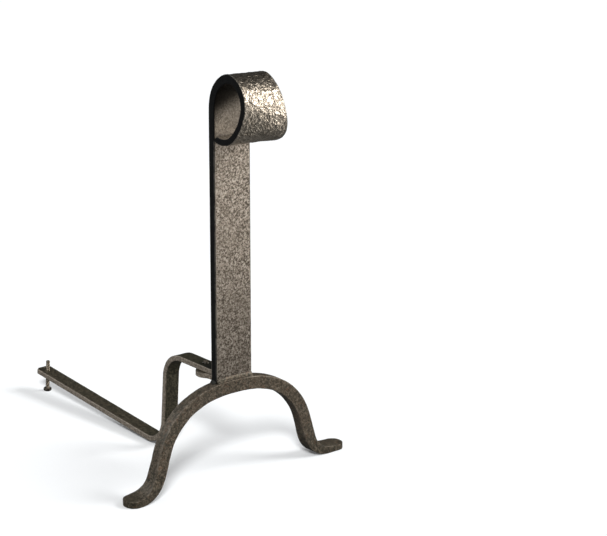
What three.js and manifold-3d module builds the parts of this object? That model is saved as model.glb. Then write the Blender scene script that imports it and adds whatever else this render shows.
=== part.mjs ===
// A forged-iron andiron (fire dog), one of a pair: a flat upright with a rolled
// scroll head, a half-round arch with two splayed feet, a lug behind the upright,
// a flat log bar bolted to the lug and bent down to hearth level, and a levelling
// bolt that carries the rear end of the log bar.
// Millimetres, +Z up, +Y towards the back of the hearth, +X to the right when
// the scroll is seen from the room.
import * as THREE from 'three';
import { mergeVertices } from 'three/addons/utils/BufferGeometryUtils.js';
import Module from 'manifold-3d';

// ---------------------------------------------------------------- dimensions
const GAP = 0.3;                 // clearance between pieces that touch

// upright, 2-1/2 x 1/2 in flat bar
const UP_WIDTH = 63.5;
const UP_THICK = 13.2;
const UP_FRONT_Y = 5.2;          // its front face, behind the front of the arch
const UP_BACK_Y = UP_FRONT_Y + UP_THICK;

// scroll head: outlines of its two ends in Y, Z, from the back of the upright over
// the top to the tip. The roll is a little lower and fuller at its right end.
const SCROLL_LEFT = [
  [18.4, 548], [18.3, 556], [17.5, 564.5], [15.9, 572.5], [13.1, 580.5], [9.4, 587.8], [4.3, 594.4],
  [-1.5, 600.2], [-8.1, 605.0], [-14.7, 608.4], [-22, 610.8], [-29.4, 611.8], [-36.5, 611.2],
  [-45.0, 608.4], [-52.4, 604.0], [-58.1, 598.6], [-62.2, 592.6], [-65.2, 586.0], [-67.0, 578.8],
  [-67.6, 571.2], [-66.8, 563.4], [-64.6, 555.6], [-61.4, 547.6], [-57.2, 539.6], [-51.7, 531.2],
  [-44.6, 523.0], [-36.4, 515.8], [-27.9, 511.0], [-18.1, 508.4], [-8.2, 507.6], [-1.4, 508.4]];
const SCROLL_RIGHT = [
  [18.4, 548], [18.2, 555.5], [17.2, 563.5], [15.3, 571.0], [12.4, 578.4], [8.4, 585.4], [3.2, 591.8],
  [-2.8, 597.6], [-9.6, 602.6], [-16.6, 606.2], [-24.2, 608.0], [-31.4, 607.8], [-38.6, 605.4],
  [-45.6, 601.2], [-51.8, 596.2], [-57.6, 590.8], [-62.8, 584.4], [-67.2, 577.2], [-71.0, 569.6],
  [-74.2, 561.4], [-76.4, 552.8], [-77.4, 544.2], [-76.8, 536.6], [-74.4, 529.6], [-70.0, 523.6],
  [-63.6, 518.6], [-55.0, 514.4], [-44.0, 511.2], [-31.0, 508.8], [-15.0, 507.6], [-1.4, 508.4]];
const SCROLL_FLARE = 0.06;       // spreading of the band at the front of the roll
const SCROLL_TIP_THICK = 9.4;    // the band is drawn thinner towards its tip
const TIP_CLEAR = 1.0;           // gap between the tip and the face of the upright

// arch foot, 3/4 in square bar: headings of its centre line at equal steps of
// arc length, from the crown to the tip of a foot (degrees below level)
const ARCH_DEPTH = 18.4;
const ARCH_RADIAL = 20.0;
const ARCH_CROWN_Z = 145.3;      // centre line at the crown
const ARCH_HALF_LENGTH = 275.0;
const ARCH_HEADINGS = [0, 6.6, 16.4, 29.2, 45.4, 59.6, 73.9, 72.2, 40.2, 2.6, 0];
const FOOT_TIP_THICK = 9.2;      // the feet are flattened towards their tips,
const PAD_FRONT_Y = -1.6;        // which spreads them into rounded pads
const PAD_BACK_Y = 30.2;
const PAD_START_X = 138, PAD_FULL_X = 172;
const PAD_RADIUS = 13.5;         // corners of the pads in plan
const TIP_LEFT_X = -188.6;       // the left foot is drawn out less than the right
const TIP_RIGHT_X = 205.6;

// rear lug, a forged eye behind the upright
const LUG_TOP_Z = 151.6;
const LUG_THICK = 8.0;
const LUG_EYE_RADIUS = 18.4;
const LUG_EYE_Y = 68.5;
const LUG_NECK_HALF = 10.5;
const JOINT_Y = 74.0;            // axis of the joint bolt

// log bar, 1 x 5/16 in flat bar
const BAR_WIDTH = 25.4;
const BAR_THICK = 8.2;
const BAR_FRONT_Y = 39.0;
const BAR_REAR_Y = 515.0;
const BAR_TOP_Z = LUG_TOP_Z + GAP + BAR_THICK;
const BAR_BEND_RADIUS = 40.0;    // centre line of both bends
const BAR_RISER_Y = 161.2;       // centre line of the riser at RISER_REF_Z
const RISER_REF_Z = 120.0;
const BAR_PITCH = THREE.MathUtils.degToRad(4.68);   // lean of the riser, rise of the lower run
const RUN_REF_Y = 214.0;         // centre line of the lower run there
const RUN_REF_Z = 8.3;
const CORNER_CLIP = 4.5;         // clipped corners at both ends of the bar

// fasteners, 1/4 in
const BOLT_DIA = 6.35;
const HOLE_DIA = 7.1;
const HEX_AF = 11.1;
const HEX_HEAD = 4.2;
const DOME_DIA = 11.6, DOME_HEIGHT = 3.3;           // round head of the joint bolt
const JOINT_END = 0.4;           // its end stands that much short of the underside of the lug
const LEVEL_Y = 499.0;           // where the levelling bolt passes the top of the run
const LEVEL_ABOVE = 15.6;        // thread standing above the run
const LEVEL_BELOW = 27.14;       // from the underside of the run to the foot of the head

const WELD_LEG = 4.2;            // legs of the weld fillets

const CENTRE_X = 8.5;            // middle of the whole width and depth, put at the origin
const CENTRE_Y = 218.98;

// ------------------------------------------------------------------- helpers
const wasm = await Module();
wasm.setup();

function toSolid(geometry) {
  let g = geometry.clone();
  for (const name of Object.keys(g.attributes)) if (name !== 'position') g.deleteAttribute(name);
  g = mergeVertices(g, 1e-4);
  const index = g.index ? Uint32Array.from(g.index.array)
    : Uint32Array.from({ length: g.attributes.position.count }, (_, i) => i);
  return new wasm.Manifold(new wasm.Mesh({
    numProp: 3, vertProperties: Float32Array.from(g.attributes.position.array), triVerts: index }));
}

function toGeometry(solid) {
  const m = solid.getMesh();
  const g = new THREE.BufferGeometry();
  const p = new Float32Array((m.vertProperties.length / m.numProp) * 3);
  for (let i = 0; i < p.length / 3; i++)
    for (let k = 0; k < 3; k++) p[3 * i + k] = m.vertProperties[m.numProp * i + k];
  g.setAttribute('position', new THREE.BufferAttribute(p, 3));
  g.setIndex(new THREE.BufferAttribute(Uint32Array.from(m.triVerts), 1));
  g.computeVertexNormals();
  return g;
}

const shapeOf = (pts) => new THREE.Shape(pts.map(([a, b]) => new THREE.Vector2(a, b)));

// outline in Y, Z drawn out along X, centred on X = 0
function extrudeX(pts, width, steps = 1) {
  const g = new THREE.ExtrudeGeometry(shapeOf(pts), { depth: width, bevelEnabled: false, steps });
  g.applyMatrix4(new THREE.Matrix4().set(0, 0, 1, -width / 2, 1, 0, 0, 0, 0, 1, 0, 0, 0, 0, 0, 1));
  return g;
}
// outline in X, Z drawn out along Y from y0
function extrudeY(pts, depth, y0) {
  const g = new THREE.ExtrudeGeometry(shapeOf(pts), { depth, bevelEnabled: false });
  g.applyMatrix4(new THREE.Matrix4().set(1, 0, 0, 0, 0, 0, -1, y0 + depth, 0, 1, 0, 0, 0, 0, 0, 1));
  return g;
}
// outline in X, Y drawn out along Z from z0
function extrudeZ(pts, height, z0, holes = []) {
  const s = shapeOf(pts);
  for (const h of holes) s.holes.push(new THREE.Path(h.map(([a, b]) => new THREE.Vector2(a, b))));
  const g = new THREE.ExtrudeGeometry(s, { depth: height, bevelEnabled: false });
  g.translate(0, 0, z0);
  return g;
}
const circle = (cx, cy, r, n = 32, a0 = 0) => Array.from({ length: n }, (_, i) => {
  const a = a0 + (i / n) * 2 * Math.PI;
  return [cx + r * Math.cos(a), cy + r * Math.sin(a)];
});
const hexagon = (af) => circle(0, 0, af / Math.sqrt(3), 6, Math.PI / 6);
const rod = (r, z0, z1, n = 28) => extrudeZ(circle(0, 0, r, n), z1 - z0, z0);

// closed solid through a row of rings, each ring the same number of points
function loft(rings) {
  const n = rings[0].length, pos = rings.flat(2), idx = [];
  for (let r = 0; r + 1 < rings.length; r++) for (let i = 0; i < n; i++) {
    const a = r * n + i, b = r * n + (i + 1) % n, c = a + n, d = b + n;
    idx.push(a, b, d, a, d, c);
  }
  for (let i = 1; i + 1 < n; i++) {
    idx.push(0, i + 1, i);
    const o = (rings.length - 1) * n;
    idx.push(o, o + i, o + i + 1);
  }
  const g = new THREE.BufferGeometry();
  g.setAttribute('position', new THREE.BufferAttribute(Float32Array.from(pos), 3));
  g.setIndex(idx);
  g.computeVertexNormals();
  return g;
}

// smooth open outline through the given points
function smooth(points, n) {
  const c = new THREE.CatmullRomCurve3(points.map(([a, b]) => new THREE.Vector3(a, b, 0)), false, 'centripetal');
  return c.getSpacedPoints(n).map((p) => [p.x, p.y]);
}

function node(name, geometry, color, roughness, metalness) {
  const mesh = new THREE.Mesh(geometry, new THREE.MeshStandardMaterial({ color, roughness, metalness }));
  mesh.name = name;
  return mesh;
}

// ------------------------------------------------------------------ the arch
function headingAt(u) {
  const k = ARCH_HEADINGS.length - 1;
  const t = Math.min(Math.max(u, 0), 1) * k, i = Math.min(Math.floor(t), k - 1), f = t - i;
  const a = ARCH_HEADINGS, m = (j) => {
    if (j <= 0 || j >= k) return 0;
    const d0 = a[j] - a[j - 1], d1 = a[j + 1] - a[j];
    return d0 * d1 <= 0 ? 0 : 2 * d0 * d1 / (d0 + d1);
  };
  const f2 = f * f, f3 = f2 * f;
  return THREE.MathUtils.degToRad(a[i] * (2 * f3 - 3 * f2 + 1) + m(i) * (f3 - 2 * f2 + f)
    + a[i + 1] * (-2 * f3 + 3 * f2) + m(i + 1) * (f3 - f2));
}
function archHalf(n = 58) {                    // outer and inner edge, crown to tip
  const outer = [], inner = [];
  let x = 0, z = ARCH_CROWN_Z;
  const h = ARCH_HALF_LENGTH / n;
  for (let i = 0; i <= n; i++) {
    const u = i / n;
    if (i) { const a = headingAt(u - 0.5 / n); x += Math.cos(a) * h; z -= Math.sin(a) * h; }
    const a = headingAt(u);
    let k = Math.min(Math.max((u - 0.66) / 0.32, 0), 1); k = k * k * (3 - 2 * k);
    const t = (ARCH_RADIAL * (1 - k) + FOOT_TIP_THICK * k) / 2;
    outer.push([x + Math.sin(a) * t, z + Math.cos(a) * t]);
    inner.push([x - Math.sin(a) * t, z - Math.cos(a) * t]);
  }
  return { outer, inner };
}
const ARCH = archHalf();
// the feet stand flat on the hearth
const lift = -Math.min(...ARCH.inner.map((p) => p[1]));
for (const side of [ARCH.outer, ARCH.inner]) for (const p of side) p[1] += lift;
for (const p of ARCH.inner) if (p[0] > 155 && p[1] < 0.35) p[1] = 0;
const mirror = (pts) => pts.map(([a, b]) => [-a, b]);

function makeArch() {
  const n = ARCH.outer.length, rings = [];
  for (let i = -(n - 1); i < n; i++) {
    const m = Math.abs(i), s = i < 0 ? -1 : 1;
    const k = THREE.MathUtils.smoothstep(ARCH.outer[m][0], PAD_START_X, PAD_FULL_X);
    const y0 = k * PAD_FRONT_Y, y1 = ARCH_DEPTH * (1 - k) + k * PAD_BACK_Y;
    const e = m === n - 1 ? 3 : 0;              // a little spare at the tips, trimmed below
    const [xo, zo] = ARCH.outer[m], [xi, zi] = ARCH.inner[m];
    rings.push([[s * (xi + e), y0, zi], [s * (xi + e), y1, zi], [s * (xo + e), y1, zo], [s * (xo + e), y0, zo]]);
  }
  let arch = toSolid(loft(rings));
  // plan outline with the rounded ends of the pads
  const r = PAD_RADIUS, xl = TIP_LEFT_X, xr = TIP_RIGHT_X, ya = PAD_FRONT_Y - 0.4, yb = PAD_BACK_Y + 0.4, plan = [];
  const arc = (cx, cy, a0, a1) => { for (let i = 0; i <= 8; i++) {
    const a = THREE.MathUtils.degToRad(a0 + (a1 - a0) * i / 8);
    plan.push([cx + r * Math.cos(a), cy + r * Math.sin(a)]); } };
  arc(xr - r, PAD_FRONT_Y + r, -90, 0); arc(xr - r, PAD_BACK_Y - r, 0, 90);
  plan.push([xr - r - 2, yb], [xl + r + 2, yb]);
  arc(xl + r, PAD_BACK_Y - r, 90, 180); arc(xl + r, PAD_FRONT_Y + r, 180, 270);
  plan.push([xl + r + 2, ya], [xr - r - 2, ya]);
  arch = arch.intersect(toSolid(extrudeZ(plan, 260, -20)));
  return toGeometry(arch);
}

// --------------------------------------------------------------- the upright
function archTopAt(x) {                        // height of the top of the arch
  const p = ARCH.outer, a = Math.abs(x);
  for (let i = 1; i < p.length; i++) if (p[i][0] >= a) {
    const f = (a - p[i - 1][0]) / (p[i][0] - p[i - 1][0]);
    return p[i - 1][1] + f * (p[i][1] - p[i - 1][1]);
  }
  return 0;
}
// one end of the band: outer edge, rounded tip, inner edge
function scrollEnd(outline) {
  const N = 50, outer = smooth(outline, N), inner = [];
  for (let i = 0; i <= N; i++) {
    const a = outer[Math.max(i - 1, 0)], b = outer[Math.min(i + 1, N)];
    let ty = b[0] - a[0], tz = b[1] - a[1]; const L = Math.hypot(ty, tz); ty /= L; tz /= L;
    if (i === 0) { ty = 0; tz = 1; }
    const k = THREE.MathUtils.smoothstep(i / N, 0.3, 0.75);
    const t = UP_THICK * (1 - k) + SCROLL_TIP_THICK * k;
    inner.push([outer[i][0] - tz * t, outer[i][1] + ty * t]);
  }
  const o = outer[N], q = inner[N], tip = [], x1 = UP_FRONT_Y - TIP_CLEAR;
  for (let i = 1; i < 6; i++) {
    const a = (i / 6) * Math.PI, m = [(o[0] + q[0]) / 2, (o[1] + q[1]) / 2];
    const h = (q[1] - o[1]) / 2, w = x1 - m[0];
    tip.push([m[0] + w * Math.sin(a), m[1] - h * Math.cos(a)]);
  }
  return [...outer, ...tip, ...inner.reverse()];
}
function makeUpright() {
  const z0 = archTopAt(UP_WIDTH / 2) - 4, rows = [];
  for (let i = 1; i <= 7; i++) rows.push(z0 + (SCROLL_LEFT[0][1] - z0) * i / 8);
  const ring = (end) => [[UP_BACK_Y, z0], ...rows.map((z) => [UP_BACK_Y, z]), ...end,
    ...rows.slice().reverse().map((z) => [UP_FRONT_Y, z]), [UP_FRONT_Y, z0]];
  const left = ring(scrollEnd(SCROLL_LEFT)), right = ring(scrollEnd(SCROLL_RIGHT));
  const middle = left.map((p, i) => [(p[0] + right[i][0]) / 2, (p[1] + right[i][1]) / 2]);
  const g = extrudeX(middle, UP_WIDTH, 1), p = g.attributes.position;
  const key = (y, z) => y.toFixed(3) + ',' + z.toFixed(3);
  const find = new Map(middle.map((q, i) => [key(Math.fround(q[0]), Math.fround(q[1])), i]));
  for (let i = 0; i < p.count; i++) {
    const n = find.get(key(p.getY(i), p.getZ(i)));
    const q = p.getX(i) < 0 ? left[n] : right[n];
    // the band spreads a little under the hammer towards the front of the roll
    const k = q[1] > 500 ? THREE.MathUtils.smoothstep(-(q[0] - 6), 0, 70) : 0;
    p.setXYZ(i, p.getX(i) * (1 + SCROLL_FLARE * k), q[0], q[1]);
  }
  let up = toSolid(g);
  // coped to sit on the crown of the arch
  const n = 20, top = [];
  for (let i = 0; i <= n; i++) {
    const x = -40 + 80 * i / n;
    top.push([x, archTopAt(x) + GAP]);
  }
  const cope = toSolid(extrudeY([[-40, z0 - 20], ...top, [40, z0 - 20]].reverse(), 60, -20));
  up = up.subtract(cope);
  return toGeometry(up);
}

// ------------------------------------------------------------------- the lug
function makeLug() {
  const y0 = UP_BACK_Y + GAP, pts = [], n = 26, w = LUG_NECK_HALF;
  const a0 = Math.asin((w + 2.2) / LUG_EYE_RADIUS);
  const neck = [[w + 6, y0], [w + 2, y0 + 5], [w + 0.3, y0 + 12], [w + 0.3, y0 + 24]];
  pts.push(...neck);
  for (let i = 0; i <= n; i++) {
    const a = -Math.PI / 2 + a0 + (2 * Math.PI - 2 * a0) * i / n;
    pts.push([LUG_EYE_RADIUS * Math.cos(a), LUG_EYE_Y + LUG_EYE_RADIUS * Math.sin(a)]);
  }
  pts.push(...mirror(neck).reverse());
  return extrudeZ(pts, LUG_THICK, LUG_TOP_Z - LUG_THICK, [circle(0, JOINT_Y, BOLT_DIA / 2 + GAP, 24).reverse()]);
}

// --------------------------------------------------------------- the log bar
const S = Math.sin(BAR_PITCH), C = Math.cos(BAR_PITCH);
function fillet(a, b, c, r, n) {               // rounds the corner b of a-b-c
  const A = new THREE.Vector2(...a), B = new THREE.Vector2(...b), D = new THREE.Vector2(...c);
  const u = A.clone().sub(B).normalize(), v = D.clone().sub(B).normalize();
  const half = Math.acos(THREE.MathUtils.clamp(u.dot(v), -1, 1)) / 2;
  const centre = u.clone().add(v).normalize().multiplyScalar(r / Math.sin(half)).add(B);
  const p0 = u.clone().multiplyScalar(r / Math.tan(half)).add(B), p1 = v.clone().multiplyScalar(r / Math.tan(half)).add(B);
  const b0 = Math.atan2(p0.y - centre.y, p0.x - centre.x);
  let d = Math.atan2(p1.y - centre.y, p1.x - centre.x) - b0;
  while (d > Math.PI) d -= 2 * Math.PI; while (d < -Math.PI) d += 2 * Math.PI;
  return Array.from({ length: n + 1 }, (_, i) => [centre.x + r * Math.cos(b0 + d * i / n), centre.y + r * Math.sin(b0 + d * i / n)]);
}
const topZ = BAR_TOP_Z - BAR_THICK / 2;
const riserY = (z) => BAR_RISER_Y + (RISER_REF_Z - z) * Math.tan(BAR_PITCH);
const runZ = (y) => RUN_REF_Z + (y - RUN_REF_Y) * Math.tan(BAR_PITCH);
const cornerTop = [riserY(topZ), topZ];
let cy = riserY(0);
for (let i = 0; i < 8; i++) cy = riserY(runZ(cy));
const cornerLow = [cy, runZ(cy)];
const barCentre = [[BAR_FRONT_Y, topZ],
  ...fillet([BAR_FRONT_Y, topZ], cornerTop, cornerLow, BAR_BEND_RADIUS, 12),
  ...fillet(cornerTop, cornerLow, [BAR_REAR_Y, runZ(BAR_REAR_Y)], BAR_BEND_RADIUS, 12),
  [BAR_REAR_Y, runZ(BAR_REAR_Y)]];
// frame of the lower run at the levelling bolt: local Z is square to the run
const levelPoint = [LEVEL_Y, runZ(LEVEL_Y) + BAR_THICK / 2 / C];

function makeLogBar() {
  const h = BAR_THICK / 2, left = [], right = [];
  for (let i = 0; i < barCentre.length; i++) {
    const p = barCentre[i], a = barCentre[Math.max(i - 1, 0)], b = barCentre[Math.min(i + 1, barCentre.length - 1)];
    let ty = b[0] - a[0], tz = b[1] - a[1]; const L = Math.hypot(ty, tz); ty /= L; tz /= L;
    if (i === 0) { ty = 1; tz = 0; }
    left.push([p[0] - tz * h, p[1] + ty * h]);
    right.push([p[0] + tz * h, p[1] - ty * h]);
  }
  let bar = toSolid(extrudeX([...left, ...right.reverse()].reverse(), BAR_WIDTH));
  // clipped corners at both ends
  const w = BAR_WIDTH / 2, c = CORNER_CLIP, y0 = BAR_FRONT_Y - 4, y1 = BAR_REAR_Y + 4;
  for (const s of [-1, 1]) for (const [ye, d] of [[BAR_FRONT_Y, 1], [BAR_REAR_Y, -1]]) {
    const tri = [[s * (w + 2), ye + d * (c + 2)], [s * (w - c - 2), ye - d * 2], [s * (w + 2), ye - d * 2]];
    if (THREE.ShapeUtils.area(tri.map(([a, b]) => new THREE.Vector2(a, b))) < 0) tri.reverse();
    bar = bar.subtract(toSolid(extrudeZ(tri, 220, -20)));
  }
  // clearance hole for the joint bolt, and the tapped hole for the levelling bolt
  const hole = rod(HOLE_DIA / 2, BAR_TOP_Z - 14, BAR_TOP_Z + 6, 24); hole.translate(0, JOINT_Y, 0);
  bar = bar.subtract(toSolid(hole));
  const tap = rod(BOLT_DIA / 2 + GAP, -16, 8, 24);
  tap.applyMatrix4(levelFrame());
  bar = bar.subtract(toSolid(tap));
  return toGeometry(bar);
}
function levelFrame() {
  return new THREE.Matrix4().makeTranslation(0, levelPoint[0], levelPoint[1])
    .multiply(new THREE.Matrix4().makeRotationX(BAR_PITCH));
}

// ----------------------------------------------------------------- fasteners
function makeJointBolt() {                     // origin at the top of the bar
  const tail = BAR_THICK + GAP + LUG_THICK - JOINT_END;
  const pts = [[0, -tail], [BOLT_DIA / 2 - 0.8, -tail], [BOLT_DIA / 2, -tail + 0.8], [BOLT_DIA / 2, GAP], [DOME_DIA / 2, GAP]];
  const n = 7, R = DOME_DIA / 2;
  for (let i = 0; i <= n; i++) {
    const a = (i / n) * Math.PI / 2;
    pts.push([R * Math.cos(a), GAP + 0.8 + (DOME_HEIGHT - 0.8) * Math.sin(a)]);
  }
  pts[pts.length - 1][0] = 0;
  const g = new THREE.LatheGeometry(pts.map(([a, b]) => new THREE.Vector2(a, b)), 30);
  g.rotateX(Math.PI / 2);
  return toGeometry(toSolid(g));
}
function makeLevelBolt() {                     // origin on its axis at the top of the run
  const foot = -BAR_THICK - LEVEL_BELOW, tip = LEVEL_ABOVE;
  const shank = [[0, foot + 1], [BOLT_DIA / 2, foot + 1], [BOLT_DIA / 2, tip - 0.9], [BOLT_DIA / 2 - 0.9, tip], [0, tip]];
  const s = new THREE.LatheGeometry(shank.map(([a, b]) => new THREE.Vector2(a, b)), 28);
  s.rotateX(Math.PI / 2);
  const head = toSolid(extrudeZ(hexagon(HEX_AF), HEX_HEAD, foot));
  return toGeometry(head.add(toSolid(s)));
}

// --------------------------------------------------------------------- welds
// fillet in the step between the front of the upright and the crown of the arch
function makeFrontWeld() {
  const rings = [], w = UP_WIDTH / 2 - 0.4, n = 16, y1 = UP_FRONT_Y - GAP;
  for (let i = 0; i <= n; i++) {
    const x = -w + 2 * w * i / n, z = archTopAt(x) + 2 * GAP;
    rings.push([[x, y1, z], [x, y1, z + WELD_LEG + 1.4], [x, y1 - 1.7, z + 2.6], [x, 0.5, z + 0.2], [x, 0.5, z]]);
  }
  return loft(rings);
}
// fillets on the crown at the two edges of the upright (side = -1 or 1)
function makeSideWeld(side) {
  const x0 = side * (UP_WIDTH / 2 + GAP), x1 = x0 + side * WELD_LEG, rings = [], n = 6;
  for (let i = 0; i <= n; i++) {
    const y = UP_FRONT_Y + 0.3 + (UP_THICK - 1.2) * i / n, s = 0.7 + 0.3 * Math.sin(Math.PI * i / n);
    const a = x0, b = x0 + (x1 - x0) * s;
    rings.push([[a, y, archTopAt(a) + 2 * GAP], [a, y, archTopAt(a) + 2 * GAP + WELD_LEG * s],
      [(a + b) / 2, y, archTopAt((a + b) / 2) + 2 * GAP + WELD_LEG * s * 0.42], [b, y, archTopAt(b) + 2 * GAP]]);
  }
  if (side < 0) rings.reverse();
  return loft(rings);
}
// fillets above and below the root of the lug (side = 1 above, -1 below)
function makeLugWeld(side) {
  const rings = [], n = 10, y0 = UP_BACK_Y + GAP, w = LUG_NECK_HALF + 2.4;
  const z0 = (side > 0 ? LUG_TOP_Z : LUG_TOP_Z - LUG_THICK) + side * GAP;
  for (let i = 0; i <= n; i++) {
    const x = -w + 2 * w * i / n, s = 0.62 + 0.38 * Math.sin(Math.PI * i / n), h = WELD_LEG * s * (side > 0 ? 0.8 : 1);
    rings.push([[x, y0, z0], [x, y0 + WELD_LEG * s, z0], [x, y0 + WELD_LEG * s * 0.42, z0 + side * h * 0.45], [x, y0, z0 + side * h]]);
  }
  if (side < 0) rings.reverse();
  return loft(rings);
}

// ------------------------------------------------------------------ assembly
const IRON = 0x5f5a52, DARK = 0x3a3731, FASTENER = 0x4a463f;
const andiron = new THREE.Group();
andiron.name = 'andiron';
const stand = new THREE.Group();
stand.position.set(-CENTRE_X, -CENTRE_Y, 0);
andiron.add(stand);

stand.add(node('upright_scroll', makeUpright(), IRON, 0.5, 0.85));
stand.add(node('arch_foot', makeArch(), IRON, 0.55, 0.8));
stand.add(node('rear_lug', makeLug(), DARK, 0.6, 0.75));
stand.add(node('log_bar', makeLogBar(), DARK, 0.6, 0.75));

const jointBolt = node('joint_bolt', makeJointBolt(), FASTENER, 0.45, 0.9);
jointBolt.position.set(0, JOINT_Y, BAR_TOP_Z);
stand.add(jointBolt);
const level = new THREE.Group();
level.applyMatrix4(levelFrame());
level.add(node('levelling_bolt', makeLevelBolt(), FASTENER, 0.45, 0.9));
stand.add(level);

stand.add(node('upright_weld_front', makeFrontWeld(), IRON, 0.6, 0.8));
stand.add(node('upright_weld_left', makeSideWeld(-1), IRON, 0.6, 0.8));
stand.add(node('upright_weld_right', makeSideWeld(1), IRON, 0.6, 0.8));
stand.add(node('lug_weld_top', makeLugWeld(1), DARK, 0.6, 0.8));
stand.add(node('lug_weld_bottom', makeLugWeld(-1), DARK, 0.6, 0.8));

export default andiron;
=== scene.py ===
import math

import bpy
import numpy as np
from mathutils import Matrix, Vector


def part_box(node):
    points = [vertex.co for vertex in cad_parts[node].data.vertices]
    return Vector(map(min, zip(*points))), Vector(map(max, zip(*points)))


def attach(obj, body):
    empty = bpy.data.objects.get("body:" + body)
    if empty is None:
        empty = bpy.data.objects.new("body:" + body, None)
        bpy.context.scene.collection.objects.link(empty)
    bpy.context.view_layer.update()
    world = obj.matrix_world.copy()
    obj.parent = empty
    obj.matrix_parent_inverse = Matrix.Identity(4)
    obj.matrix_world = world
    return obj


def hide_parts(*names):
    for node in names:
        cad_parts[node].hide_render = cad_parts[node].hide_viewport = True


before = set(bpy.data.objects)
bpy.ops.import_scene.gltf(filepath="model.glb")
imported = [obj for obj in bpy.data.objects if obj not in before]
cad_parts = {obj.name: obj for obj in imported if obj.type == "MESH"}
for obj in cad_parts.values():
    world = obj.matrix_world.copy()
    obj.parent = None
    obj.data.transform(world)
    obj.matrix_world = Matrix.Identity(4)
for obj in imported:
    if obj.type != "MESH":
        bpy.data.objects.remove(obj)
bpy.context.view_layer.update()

# ------------------------------------------------------------------ constants
# Millimetres in the frame the CAD was drawn in; CENTRE moves it to the part's own frame.
CENTRE = np.array([8.5, 218.98, 0.0])
GAP = 0.3
UP_WIDTH, UP_THICK, UP_FRONT_Y = 63.5, 13.2, 5.2
UP_BACK_Y = UP_FRONT_Y + UP_THICK
SCROLL_LEFT = [
    (18.4, 548), (18.3, 556), (17.5, 564.5), (15.9, 572.5), (13.1, 580.5), (9.4, 587.8), (4.3, 594.4),
    (-1.5, 600.2), (-8.1, 605.0), (-14.7, 608.4), (-22, 610.8), (-29.4, 611.8), (-36.5, 611.2),
    (-45.0, 608.4), (-52.4, 604.0), (-58.1, 598.6), (-62.2, 592.6), (-65.2, 586.0), (-67.0, 578.8),
    (-67.6, 571.2), (-66.8, 563.4), (-64.6, 555.6), (-61.4, 547.6), (-57.2, 539.6), (-51.7, 531.2),
    (-44.6, 523.0), (-36.4, 515.8), (-27.9, 511.0), (-18.1, 508.4), (-8.2, 507.6), (-1.4, 508.4)]
SCROLL_RIGHT = [
    (18.4, 548), (18.2, 555.5), (17.2, 563.5), (15.3, 571.0), (12.4, 578.4), (8.4, 585.4), (3.2, 591.8),
    (-2.8, 597.6), (-9.6, 602.6), (-16.6, 606.2), (-24.2, 608.0), (-31.4, 607.8), (-38.6, 605.4),
    (-45.6, 601.2), (-51.8, 596.2), (-57.6, 590.8), (-62.8, 584.4), (-67.2, 577.2), (-71.0, 569.6),
    (-74.2, 561.4), (-76.4, 552.8), (-77.4, 544.2), (-76.8, 536.6), (-74.4, 529.6), (-70.0, 523.6),
    (-63.6, 518.6), (-55.0, 514.4), (-44.0, 511.2), (-31.0, 508.8), (-15.0, 507.6), (-1.4, 508.4)]
SCROLL_FLARE = 0.06
SCROLL_TIP_THICK = 9.4
ARCH_DEPTH, ARCH_RADIAL, ARCH_CROWN_Z, ARCH_HALF_LENGTH = 18.4, 20.0, 145.3, 275.0
ARCH_HEADINGS = [0, 6.6, 16.4, 29.2, 45.4, 59.6, 73.9, 72.2, 40.2, 2.6, 0]
FOOT_TIP_THICK, PAD_FRONT_Y, PAD_BACK_Y, PAD_START_X, PAD_FULL_X = 9.2, -1.6, 30.2, 138.0, 172.0
PAD_RADIUS, TIP_LEFT_X, TIP_RIGHT_X = 13.5, -188.6, 205.6
LUG_TOP_Z, LUG_THICK, LUG_EYE_Y = 151.6, 8.0, 68.5
JOINT_Y = 74.0
BAR_WIDTH, BAR_THICK, BAR_FRONT_Y, BAR_REAR_Y = 25.4, 8.2, 39.0, 515.0
BAR_TOP_Z = LUG_TOP_Z + GAP + BAR_THICK
BAR_BEND_RADIUS, BAR_RISER_Y, RISER_REF_Z = 40.0, 161.2, 120.0
BAR_PITCH = math.radians(4.68)
RUN_REF_Y, RUN_REF_Z, CORNER_CLIP = 214.0, 8.3, 4.5
BOLT_DIA, HOLE_DIA, HEX_AF, HEX_HEAD = 6.35, 7.1, 11.1, 4.2
DOME_DIA, DOME_HEIGHT, JOINT_END = 11.6, 3.3, 0.4
LEVEL_Y, LEVEL_ABOVE, LEVEL_BELOW = 499.0, 15.6, 27.14
THREAD_PITCH = 1.27


# ---------------------------------------------------------------------- noise
def _table(seed, n=256):
    r = np.random.RandomState(seed)
    g = r.normal(size=(n, 3))
    g /= np.linalg.norm(g, axis=1)[:, None]
    return r.permutation(n), g


_tables = {}


def perlin(p, seed=0):
    """Gradient noise of the points p, roughly from -1 to 1."""
    if seed not in _tables:
        _tables[seed] = _table(seed + 11)
    perm, grad = _tables[seed]
    p = np.asarray(p, float)
    i = np.floor(p).astype(int)
    f = p - i
    w = f * f * f * (f * (f * 6 - 15) + 10)
    out = np.zeros(len(p))
    for dx in (0, 1):
        for dy in (0, 1):
            for dz in (0, 1):
                h = perm[(perm[(perm[(i[:, 0] + dx) & 255] + i[:, 1] + dy) & 255] + i[:, 2] + dz) & 255]
                d = f - (dx, dy, dz)
                k = ((w[:, 0] if dx else 1 - w[:, 0]) * (w[:, 1] if dy else 1 - w[:, 1])
                     * (w[:, 2] if dz else 1 - w[:, 2]))
                out += k * (grad[h] * d).sum(1)
    return out * 1.5


def fbm(p, size, octaves=3, seed=0, gain=0.5):
    """Layered noise; size is the largest feature in millimetres."""
    p = np.asarray(p, float) / size
    out, a, total = np.zeros(len(p)), 1.0, 0.0
    for k in range(octaves):
        out += a * perlin(p * 2 ** k + 7.3 * k, seed + k)
        total += a
        a *= gain
    return out / total


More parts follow.
